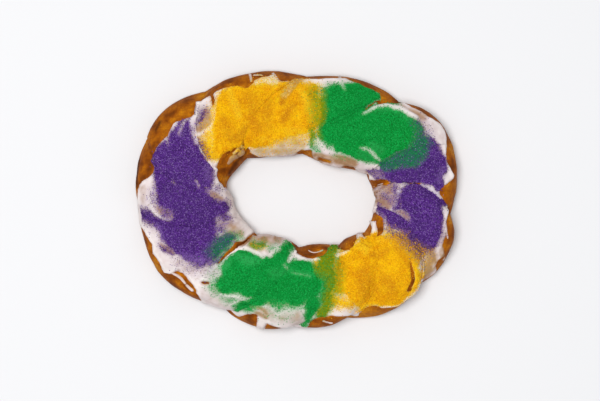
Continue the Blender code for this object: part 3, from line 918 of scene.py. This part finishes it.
# %% Purple shakes
# Each shake is its strength from 0 to 1, the softness of its edge, and its stroke, in millimetres.
PURPLE_SHAKES = (
    (1, 2.5, ((-122.7, 93, 3), (-122.7, 81, 9), (-125, 63, 17), (-125, 44.5, 27.5), (-123.5, 24.6, 32),
              (-122.5, 6, 29), (-117, -12, 27), (-118, -26, 31.5), (-114, -37, 29), (-105, -49, 20),
              (-101, -56, 15))),
    (1, 1.5, ((-139, 66, 3), (-146, 57, 5), (-150, 47, 5.5), (-150, 28, 6.5), (-148, 16, 4))),
    (0.5, 4, ((-156, 14, 4), (-157, 4, 4), (-156, -6, 4))),
    (1, 2, ((-97, -8, 14), (-86, -9, 12))),
    (1, 2, ((-172, -15, 4.5), (-163.7, -17.5, 6.5), (-154.5, -21.5, 6), (-145, -27.5, 8))),
    (0.5, 6, ((-138, -30, 14), (-118, -60, 9), (-100, -64, 9))),
    (0.3, 6, ((-128, -66, 4), (-112, -76, 5), (-92, -76, 4))),
    (0.65, 4, ((-126, -58, 5), (-115, -66, 5), (-97, -68, 6), (-87, -65, 5))),
    (1, 2, ((-147, -49, 2), (-141, -53, 3), (-136, -57, 2))),
    (0.4, 5, ((-150, 0, 6), (-146, -10, 6))),
    (0.9, 4, ((-92, -48, 6), (-80, -44, 6), (-70, -41, 3))),
    (0.8, 3, ((-86, -16, 6), (-78, -22, 6), (-82, -32, 5))),
    (0.5, 4, ((-92, 8, 5), (-86, 14, 4))),
    (0.75, 2, ((80, 31.5, 4), (90, 30, 6.5), (104, 29, 9))),
    (1, 2, ((96, 30, 5), (106, 29.5, 8), (118, 29.5, 10.5), (136, 36, 18), (146, 40, 17.5),
            (147, 57, 7.5), (143, 66, 4))),
    (1, 1.5, ((150, 26, 9), (158, 15, 3.5))),
    (0.35, 4, ((163, -20, 2), (160, -40, 3))),
    (0.6, 5, ((142, 74, 3), (136, 80, 3), (131, 86, 2))),
    (0.8, 4, ((98, 38, 4), (114, 44, 6), (132, 56, 6), (137, 72, 4))),
    (1, 2, ((127, 2, 15.5), (140, -4, 17.5), (143, -24, 18), (142, -42, 13), (142, -53, 6))),
    (1, 2, ((90, -6.5, 4), (98, -13.5, 7), (109, -22.5, 8.5), (122, -31, 10), (133, -48, 8))),
    (0.85, 3.5, ((106, 17, 4), (107, 0, 6), (99, 4, 5))),
    (0.5, 4, ((90, 12, 3), (94, 3, 5))),
    (0.9, 2, ((118, 14, 3.5), (112.5, 2, 4.5), (109.5, -6, 4.5))),
    (1, 3, ((-99.5, 95, 3), (-102, 86, 3.5))),
    (0.6, 5, ((100, -25, 4), (112, -38, 6), (126, -53, 7), (137, -62, 5))),
)
print(len(PURPLE_SHAKES), "purple shakes")

# %% Gold shakes
GOLD_SHAKES = (
    (1, 3.5, ((-89, 51, 7), (-78, 67, 18), (-66, 90, 25), (-63, 99, 27.5), (-44, 99, 29), (-27, 98, 29),
              (-8, 101, 29), (1, 103, 27), (8, 104, 21))),
    (1, 3, ((-60, 80, 18), (-44, 88, 30), (-27, 92, 30), (-8, 95, 27), (4, 97, 25))),
    (0.8, 3, ((-95, 50, 5), (-98, 64, 6), (-97, 80, 4))),
    (0.9, 2.5, ((4, 125, 5), (15, 121, 7), (21, 112, 6))),
    (0.6, 3.5, ((22, 120, 6), (24, 102, 6), (22, 84, 5))),
    (0.5, 3, ((-46, 131, 4), (-34, 132, 4), (-22, 131, 4))),
    (0.34, 5, ((-46, 55, 6), (-20, 56, 6), (4, 60, 4))),
    (0.55, 4, ((-8, 66, 6), (8, 70, 7), (21, 74, 6))),
    (1, 2.5, ((66, -66, 20), (88, -63, 24.5), (104, -60, 22.5), (118, -62, 18))),
    (1, 2, ((56, -86, 14), (76, -92, 24), (95, -90, 25), (112, -90, 24), (116, -88, 19))),
    (1, 2.5, ((52, -80, 11), (58, -64, 10))),
    (1, 2, ((72, -110, 9), (72, -118, 5))),
    (0.9, 3, ((100, -37, 2.5), (107, -43, 5), (119, -49, 6))),
    (0.45, 4, ((98, -32, 2), (106, -37, 4), (116, -43, 5))),
    (0.65, 4, ((24, -69, 4), (31, -75, 5), (41, -80, 6), (43, -96, 7))),
    (0.95, 5, ((47, -70, 5), (47, -80, 7), (47, -96, 9))),
    (0.9, 4, ((38, -104, 7), (46, -110, 7), (60, -112, 6))),
    (0.6, 4, ((38, -112, 4), (30, -123, 5))),
    (0.8, 2.5, ((43.5, -46, 3), (41, -53, 4), (38, -60, 5), (32, -72, 7))),
    (0.5, 4, ((126, -50, 5), (140, -58, 5))),
    (0.5, 4, ((145, -60, 5), (144, -70, 6), (140, -84, 5))),
    (0.5, 3, ((-47, -50, 4), (-38, -51, 4))),
    (0.35, 3, ((14, 72, 4), (20, 66, 4))),
    (0.3, 4, ((-92, 104, 3), (-95, 90, 3))),
    (0.7, 3, ((-71, 50, 2), (-61, 56, 3))),
)
print(len(GOLD_SHAKES), "gold shakes")

# %% Green shakes
GREEN_SHAKES = (
    (1, 2.2, ((44, 112, 14), (60, 97, 32), (80, 89, 31), (90, 84, 27), (103, 75, 24.5), (117, 74, 18))),
    (1, 2, ((41, 76, 14), (48, 80, 18), (60, 76, 24.5), (78, 67, 24), (96, 62, 21.5), (114, 66, 17))),
    (1, 3, ((42, 114, 13), (40, 95, 13), (40, 76, 14))),
    (0.9, 3, ((31, 112, 4), (30, 92, 4), (30, 74, 4), (36, 63, 4))),
    (0.35, 5, ((22, 114, 5), (21, 100, 5), (21, 86, 5))),
    (1, 4, ((98, 40, 4), (112, 44, 6), (124, 48, 10), (133, 58, 9), (134, 66, 5))),
    (1, 2.5, ((-82, -90, 7), (-76, -97, 7))),
    (0.65, 4, ((-91, -92, 4), (-78, -104, 4), (-66, -106, 4))),
    (0.4, 3, ((-30, -54, 4), (-22, -52, 3))),
    (1, 2, ((-64, -72, 8), (-66, -85, 15), (-58, -80, 24), (-44, -84, 22), (-30, -88, 24), (-8, -90, 24),
            (6, -88, 23), (10, -88, 19))),
    (1, 2, ((-24, -72, 9), (-15, -60, 7), (-8.5, -48, 5), (-8, -45, 4))),
    (1, 2, ((-65, -115, 3.5), (-52, -114, 7), (-36, -105, 9))),
    (1, 2, ((17, -110, 9), (12.5, -124, 4.2), (8.5, -136, 2.6))),
    (0.95, 3.5, ((37, -56, 4), (33, -66, 6), (32, -80, 7), (32, -98, 7), (30, -108, 6))),
    (0.45, 7, ((40, -60, 4), (41, -80, 5), (41, -98, 6))),
    (0.75, 4, ((40, -104, 3), (34, -112, 6), (28, -124, 5))),
    (0.7, 2.5, ((43.5, -46, 3), (41, -53, 4), (38, -60, 5), (32, -72, 7))),
    (0.6, 4, ((-24, -112, 6), (-6, -112, 7), (12, -108, 6))),
    (0.85, 5, ((-27, -110, 5), (-17, -113, 6))),
    (0.20, 5, ((-34, -124, 6), (-8, -124, 9))),
    (0.62, 5, ((-64, -39.5, 3), (-75, -46, 6), (-88, -56, 7))),
    (0.5, 3, ((-48, -50, 4), (-38, -50, 4))),
    (0.6, 3, ((16, 76, 3), (20, 68, 4), (20, 60, 4), (24, 56, 3))),
    (0.4, 3, ((44, 50, 3), (56, 48, 3))),
    (0.25, 5, ((-92, -84, 6), (-80, -104, 5))),
)
print(len(GREEN_SHAKES), "green shakes")

# %% Painted shade and painted highlights
# Painted shade, browning the sugar in folds and hollows: strength, softness and the stroke again.
SHADED_PLACES = (
    (1, 2.5, ((3, 133, 3), (-5, 123, 3.5), (-12, 114, 4), (-16, 106, 3))),
    (0.8, 4, ((-4, 104, 3), (-10, 95, 4), (-14, 88, 3))),
    (0.8, 4, ((-56, 80, 4), (-62, 72, 5), (-72, 66, 4))),
    (0.6, 2, ((-67, 113, 1.5), (-61, 109, 1.5))),
    (0.6, 5, ((-30, 104, 5), (-34, 84, 6))),
    (0.7, 4, ((84, -60, 4), (92, -60, 4), (100, -54, 3))),
    (0.7, 4, ((70, -88, 4), (73, -98, 4), (78, -104, 3))),
    (0.7, 4, ((108, -52, 4), (118, -60, 4), (124, -72, 3))),
    (0.6, 5, ((96, -84, 6), (104, -98, 6))),
    (0.6, 4, ((48, -76, 4), (46, -90, 4))),
    (0.7, 4, ((118, -44, 5), (134, -60, 5))),
    (0.8, 4, ((147, -56, 5), (144, -76, 6))),
    (0.4, 4, ((-84, -36, 4), (-90, -56, 4))),
    (1, 2, ((-147, -49, 2), (-141, -53, 3), (-136, -57, 2))),
    (0.9, 3, ((-47, -46, 4), (-38, -48, 4))),
    (0.6, 6, ((-80, 88, 4), (-74, 72, 6))),
    (0.55, 8, ((-50, 112, 7), (-44, 84, 9), (-34, 82, 8))),
    (0.5, 6, ((74, -80, 8), (84, -96, 7))),
    (0.9, 3, ((-98, 96, 3), (-97, 86, 4), (-102, 79, 3))),
)
# Painted highlights, paling the sugar on lit ridges, in the same form.
HIGHLIGHT_PLACES = (
    (0.9, 3.5, ((-73, 118, 3), (-67, 105, 4.5), (-64, 93, 4))),
    (0.6, 4, ((-94, 78, 3), (-93, 62, 3), (-89, 50, 4))),
    (0.7, 5, ((5, 119, 3), (12, 106, 5), (17, 92, 5))),
    (0.7, 3.5, ((-44, 128, 4), (-22, 127, 4))),
    (0.8, 3, ((-36, 68, 3), (-28, 66, 3))),
    (0.6, 4, ((-10, 76, 3), (4, 76, 4))),
    (0.9, 4, ((60, -50, 3), (68, -48, 5), (76, -54, 5))),
    (0.6, 4, ((92, -44, 4), (98, -40, 4))),
    (0.8, 3, ((70, -112, 4), (76, -118, 4))),
    (0.7, 4, ((130, -66, 3), (131, -82, 3), (124, -96, 3))),
    (0.9, 4, ((-68, -58, 4), (-54, -66, 5), (-44, -66, 4))),
    (0.5, 4, ((-26, -80, 5), (-14, -78, 4))),
    (0.7, 3, ((-12, -72, 3), (-2, -79, 2.5), (16, -82, 2.5))),
    (0.6, 3, ((86, 98, 3), (104, 99, 3), (122, 90, 3))),
    (0.5, 4, ((72, 52, 4), (84, 46, 4))),
    (0.8, 2.5, ((-151, -28, 2), (-148, -40, 3), (-144, -45, 2))),
    (0.6, 4, ((-126, -62, 4), (-96, -68, 5))),
    (0.9, 2.5, ((-131, 82, 2), (-126, 72, 2.5))),
    (0.9, 3, ((-79, -73, 4), (-74, -66, 4))),
    (0.9, 3, ((42, -48, 3), (39, -60, 3))),
    (0.7, 3.5, ((84, 60, 4), (92, 55, 4))),
    (0.5, 4, ((-96, 24, 4), (-98, 34, 4))),
    (0.6, 3, ((158, 34, 3), (156, 22, 3))),
)
print(len(SHADED_PLACES), "soaked and", len(HIGHLIGHT_PLACES), "pale places")

# %% Where sugar stays
# Shares of the sugar that slide off ridges and thin places, and that stay on bare crust.
OFF_RIDGES, OFF_THIN_PLACES, ON_BARE_CRUST = 0.93, 0.6, 0.06

facing_up = smooth_step((grid_normals(levelled)[..., 2] - 0.02) / 0.25)
ridge_clean = smooth_step(ridge_depth / 0.0050 + 0.40)
catches = facing_up * (1.0 - OFF_RIDGES * ridge_clean) * (1.0 - OFF_THIN_PLACES * thin_and_shaded)
on_icing = smooth_step((np.maximum(cover, string_cover) + 0.0014) / 0.0018)
catches *= ON_BARE_CRUST + (1.0 - ON_BARE_CRUST) * on_icing
drift_x, drift_y = (
    flat + 0.0024 * soft_noise(dough, 0.013, seed) + 0.0013 * soft_noise(dough, 0.005, seed + 2)
    for flat, seed in ((flat_x, 21), (flat_y, 22))
)
fading = 1.9 + 1.1 * soft_noise(dough, 0.022, 25)


def shaken(shakes, seed):
    """The share of each spot that one colour covers."""
    edge = layered(dough, (0.0016, 0.0075, seed), (0.0011, 0.0028, seed + 1))
    return soft_strokes(shakes, drift_x, drift_y, edge, fading) * catches


share = {
    "purple": shaken(PURPLE_SHAKES, 31),
    "gold": shaken(GOLD_SHAKES, 33),
    "green": shaken(GREEN_SHAKES, 35),
}
total = sum(share.values())
share = {kind: field / np.maximum(total, 1.0) for kind, field in share.items()}
total = np.minimum(total, 1.0)
print({kind: round(float(field.mean()), 3) for kind, field in share.items()})

# %% The beds of sugar
BED_DEPTH, BED_START, UNDER_BED = 0.0010, -0.0004, 0.0012
BED_STEP = 0.00005  # so that neighbouring beds never share a face
THICK_ENOUGH = 0.42

grit = layered(dough, (0.00032, 0.0016, 41), (0.00035, 0.0050, 42))
bed_lift = BED_START + BED_DEPTH * smooth_step((total - 0.3) / 0.6)
bed_lift += grit * smooth_step((total - 0.4) / 0.3)
bed_top = surface + lift_normals * bed_lift[..., None]
bed_under = surface - lift_normals * UNDER_BED
strongest = np.argmax(np.stack(list(share.values())), axis=0)
beds = {}
for index, kind in enumerate(share):
    step = lift_normals * (index * BED_STEP)
    inside = (strongest == index) & (total > THICK_ENOUGH)
    beds[kind] = make_coat(kind + "_sugar_bed", bed_top + step, bed_under + step, inside)

# %% [markdown]
# ## Finish of the icing and the sugar
# The icing is white where it lies thick and pinkish or tan where the crust shows through, and
# the wet sugar's dyes bleed a little into it. The sugar is dyed crystals, each of its own
# shade and paler at the rim of a shake. Painted shade browns them in folds and hollows,
# painted highlights pale them on lit ridges, and a few catch the light. Where two colours meet
# they run into a third. Each crystal could be modelled, but there are hundreds of thousands.
# So a cell pattern of the crystals' size gives every cell random numbers, and the shares decide
# from one of them whether the cell is purple, gold, green or bare icing. The icing and the beds
# use the same pattern in the same place, so the thin edge of a bed isn't seen.

# %% The sugars' colours
SUGARS = {
    "purple": ((0.017, 0.003, 0.052), (0.158, 0.044, 0.365)),
    "gold": ((0.56, 0.185, 0.0008), (0.94, 0.480, 0.0025)),
    "green": ((0.0002, 0.125, 0.010), (0.0050, 0.430, 0.072)),
}
GLINTS = {"purple": (0.42, 0.28, 0.60), "gold": (1.0, 0.68, 0.020), "green": (0.030, 0.50, 0.12)}
CLOUDS = {
    "purple": (0.060, 0.020, 0.150), "gold": (0.96, 0.600, 0.0030), "green": (0.0010, 0.235, 0.030),
}
# Colour of each sugar in painted shade.
SHADE_COLOURS = {
    "purple": (0.040, 0.015, 0.080), "gold": (0.50, 0.175, 0.0060), "green": (0.010, 0.120, 0.030),
}
DYES = {"purple": (0.17, 0.085, 0.30), "gold": (0.86, 0.57, 0.085), "green": (0.060, 0.31, 0.080)}
# Paler crystals: for a shake's fringe, and for painted highlights.
PALE = {
    "purple": (0.28, 0.160, 0.430), "gold": (0.93, 0.640, 0.0200), "green": (0.040, 0.430, 0.110),
}
# Two sugars that meet, how strongly they bleed, and the colour between them.
BLENDS = (
    ("purple", "green", 3.8, (0.018, 0.140, 0.085)),
    ("gold", "green", 3.8, (0.165, 0.250, 0.0030)),
    ("purple", "gold", 2.0, (0.300, 0.155, 0.028)),
)
print(len(SUGARS), "sugars,", len(BLENDS), "blends")


# %% Crystals as a pattern
CELLS_PER_METRE = 1500.0
# Start, end and top of a stretch: the luckiest crystals glint, and a shake's fringe is paler.
GLINT_SPAN, FRINGE_SPAN = (0.84, 0.97, 0.55), (1.0, 0.2, 0.45)


def is_chosen(paint, share, luck):
    """0 to 1: whether a cell with this luck holds a crystal, with a little in between."""
    ahead = paint.maths("MULTIPLY_ADD", share, 1.4, paint.times(luck, -1.0))
    return paint.stretch(ahead, 0.0, 0.4)


def crystals_over(paint, ground):
    """Colour and relief of a ground strewn with crystals by the three shares."""
    scale = {"Vector": paint.spots(), "Scale": CELLS_PER_METRE}
    cells = paint.add("TexVoronoi", scale).outputs
    luck = paint.add("SeparateColor", {"Color": cells["Color"]}).outputs
    clumps = paint.times(paint.noise(560.0, 1.0, 0.15), 0.55)
    shades = paint.plus(paint.times(luck["Green"], 0.45), clumps)
    masks = {kind: paint.mask(kind) for kind in SUGARS}
    so_far, limits = None, {}
    for kind, mask in masks.items():
        so_far = mask if so_far is None else paint.plus(so_far, mask)
        limits[kind] = so_far
        ground = paint.blend(paint.times(paint.mask(kind + "_dye"), 1.1), ground, DYES[kind])
    soaked = paint.mask("soaked")
    layers = (
        (paint.times(paint.noise(70.0, 3.0, 0.16), 0.7), CLOUDS),
        (paint.stretch(so_far, *FRINGE_SPAN), PALE),
        # Painted shade browns the crystals; where the mask is below zero it is painted highlight and
        # pales them.
        (paint.times(soaked, 0.8), SHADE_COLOURS),
        (paint.times(soaked, -0.7), PALE),
        (paint.stretch(luck["Blue"], *GLINT_SPAN), GLINTS),
    )
    colour = ground
    for kind in reversed(SUGARS):
        crystal = paint.blend(shades, *SUGARS[kind])
        for layer, colours in layers:
            crystal = paint.blend(layer, crystal, colours[kind])
        colour = paint.blend(is_chosen(paint, limits[kind], luck["Red"]), colour, crystal)
    for first, second, bleeding, between in BLENDS:
        both = paint.times(paint.times(masks[first], masks[second]), bleeding)
        colour = paint.blend(both, colour, between)
    return colour, paint.times(cells["Distance"], so_far)


# %% Paint the icing and the beds
ICING_COLOURS = (
    (0.0, (0.880, 0.815, 0.780)), (0.30, (0.770, 0.665, 0.655)), (0.58, (0.590, 0.460, 0.415)),
    (0.82, (0.500, 0.330, 0.225)), (1.0, (0.370, 0.200, 0.100)),
)
strewn = {}
for name, gloss in (("poured_icing", 0.20), ("shaken_sugar", 0.05)):
    paint = Paint(name)
    fine = paint.times(paint.noise(260.0, 3.0, 0.25), 0.16)
    thinness = paint.plus(paint.times(paint.mask("thin"), 0.9), fine)
    colour, relief = crystals_over(paint, paint.ramp(thinness, ICING_COLOURS))
    strewn[name] = paint.finish({
        "Base Color": colour, "Roughness": 0.65, "Specular IOR Level": gloss,
        "Normal": paint.bump(relief, 0.7, -0.0007),
    })

# Painted shade in folds and hollows, less painted highlight on lit ridges, in one mask.
painted_shade, painted_highlight = (soft_strokes(places, flow_x, flow_y) for places in (SHADED_PLACES, HIGHLIGHT_PLACES))
fields = {"thin": thin, "soaked": (painted_shade - painted_highlight) * (1.0 + 0.5 * mottle), **share}
fields.update({kind + "_dye": blurred(field, 16) for kind, field in share.items()})
for label, field in fields.items():
    add_mask(icing_coat, label, every_second(field))
    for piece in (icing_strings, *beds.values()):
        add_mask(piece, label, field)
for piece in (icing_coat, icing_strings):
    piece.data.materials.append(strewn["poured_icing"])
    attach(piece, "root")
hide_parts("icing")
for piece in beds.values():
    piece.data.materials.append(strewn["shaken_sugar"])
    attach(piece, "root")
print("icing and beds painted")

# %% Paint for single crystals
grain_paints = {}
for kind, (dark, light) in SUGARS.items():
    paint = Paint(kind + "_crystals")
    colour = paint.blend(paint.mask("shade"), dark, light)
    glint = paint.stretch(paint.mask("shade"), *GLINT_SPAN)
    grain_paints[kind] = paint.finish({
        "Base Color": paint.blend(glint, colour, GLINTS[kind]),
        "Roughness": 0.6, "Specular IOR Level": 0.10,
    })
print("crystals painted")

# %% [markdown]
# ## Loose crystals
# Real sugar of this kind is blocky crystals of about half a millimetre to a millimetre. One
# Geometry Nodes tree scatters them for all three colours: points at least a crystal apart on
# the surface, as closely as the shake says, each with a block turned and sized at random. It
# runs once and its result is kept as a plain mesh.

# %% The tree that scatters crystals
SHORTEST_SIDES, LONGEST_SIDES = (0.65, 0.65, 0.55), (1.35, 1.15, 1.0)
GIVEN = (
    ("Geometry", "Geometry"), ("Density Name", "String"), ("Crystal Size", "Float"),
    ("Spacing", "Float"), ("Most per Area", "Float"), ("Seed", "Int"), ("Paint", "Material"),
)


def build_grain_tree():
    tree = bpy.data.node_groups.new("scatter_crystals", "GeometryNodeTree")
    for label, kind in GIVEN:
        tree.interface.new_socket(label, in_out="INPUT", socket_type="NodeSocket" + kind)
    tree.interface.new_socket("Geometry", in_out="OUTPUT", socket_type="NodeSocketGeometry")
    given = tree.nodes.new("NodeGroupInput").outputs

    def node(kind, inputs, **settings):
        return add_node(tree, kind, inputs, **settings)

    density = node(
        "GeometryNodeInputNamedAttribute", {"Name": given["Density Name"]}, data_type="FLOAT"
    )
    spread = node("GeometryNodeDistributePointsOnFaces", {
        "Mesh": given["Geometry"], "Distance Min": given["Spacing"], "Density Factor": density,
        "Density Max": given["Most per Area"], "Seed": given["Seed"],
    }, distribute_method="POISSON")
    turned, sides = (
        node("FunctionNodeRandomValue", span, data_type="FLOAT_VECTOR")
        for span in ({"Max": (math.tau, math.tau, math.tau), "Seed": 1},
                     {"Min": SHORTEST_SIDES, "Max": LONGEST_SIDES, "Seed": 2})
    )
    size = {0: sides, "Scale": given["Crystal Size"]}
    blocks = node("GeometryNodeInstanceOnPoints", {
        "Points": spread, "Instance": node("GeometryNodeMeshCube", {}), "Rotation": turned,
        "Scale": node("ShaderNodeVectorMath", size, operation="SCALE"),
    })
    shade = node("FunctionNodeRandomValue", {"Seed": 3}, data_type="FLOAT")
    stored = {"Geometry": blocks, "Name": "shade", "Value": shade}
    stored = node("GeometryNodeStoreNamedAttribute", stored, data_type="FLOAT", domain="INSTANCE")
    real = node("GeometryNodeRealizeInstances", {"Geometry": stored})
    painted = node("GeometryNodeSetMaterial", {"Geometry": real, "Material": given["Paint"]})
    node("NodeGroupOutput", {"Geometry": painted})
    return tree


grain_tree = build_grain_tree()
print("tree of", len(grain_tree.nodes), "nodes")

# %% Where single crystals can lie
PERCH_ABOVE, PERCH_ROWS = 0.0001, CROWN_ROWS + SIDE_ROWS // 2
perch_lift = np.where(total > THICK_ENOUGH, np.maximum(bed_lift, 0.0), 0.0) + PERCH_ABOVE
perch = (surface + lift_normals * perch_lift[..., None])[:, :PERCH_ROWS]
perch_faces = ring_faces(*perch.shape[:2])[:, :-1]
print("perch of", perch_faces[..., 0].size, "faces")


# %% Scattering each colour
GRAIN_SIZE, GRAIN_SPACING, MOST_GRAINS = 0.00072, 0.00095, 1.2e6
STRAY_SHARE, GRAIN_SHARE = 0.13, 0.8


def scatter(kind, field, seed):
    """A plain mesh of loose crystals of one colour, lying on everything below them."""
    strays = STRAY_SHARE * blurred(field, 60) * facing_up
    likely = np.clip(GRAIN_SHARE * field + strays, 0.0, 1.0)[:, :PERCH_ROWS]
    mesh = make_mesh(kind + "_perch", perch, perch_faces, {"likely": likely})
    grains = add_to_scene(kind + "_sugar_grains", mesh)
    spreading = grains.modifiers.new("scatter", "NODES")
    spreading.node_group = grain_tree
    wanted = {
        "Density Name": "likely", "Crystal Size": GRAIN_SIZE, "Spacing": GRAIN_SPACING,
        "Most per Area": MOST_GRAINS, "Seed": seed, "Paint": grain_paints[kind],
    }
    for socket in grain_tree.interface.items_tree:
        if socket.in_out == "INPUT" and socket.name in wanted:
            spreading[socket.identifier] = wanted[socket.name]
    evaluated = grains.evaluated_get(bpy.context.evaluated_depsgraph_get())
    plain = bpy.data.meshes.new_from_object(evaluated)
    grains.modifiers.clear()
    grains.data = plain
    bpy.data.meshes.remove(mesh)
    plain.name = kind + "_sugar_grains"
    print(plain.name + ":", 2 * len(plain.polygons), "triangles")
    return grains


# Green sugar hides gold crystals, so few of them lie loose there.
loose = {**share, "gold": share["gold"] * np.clip(1.0 - 1.8 * share["green"], 0.0, 1.0)}
for seed, (kind, field) in enumerate(loose.items(), start=5):
    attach(scatter(kind, field, seed), "root")
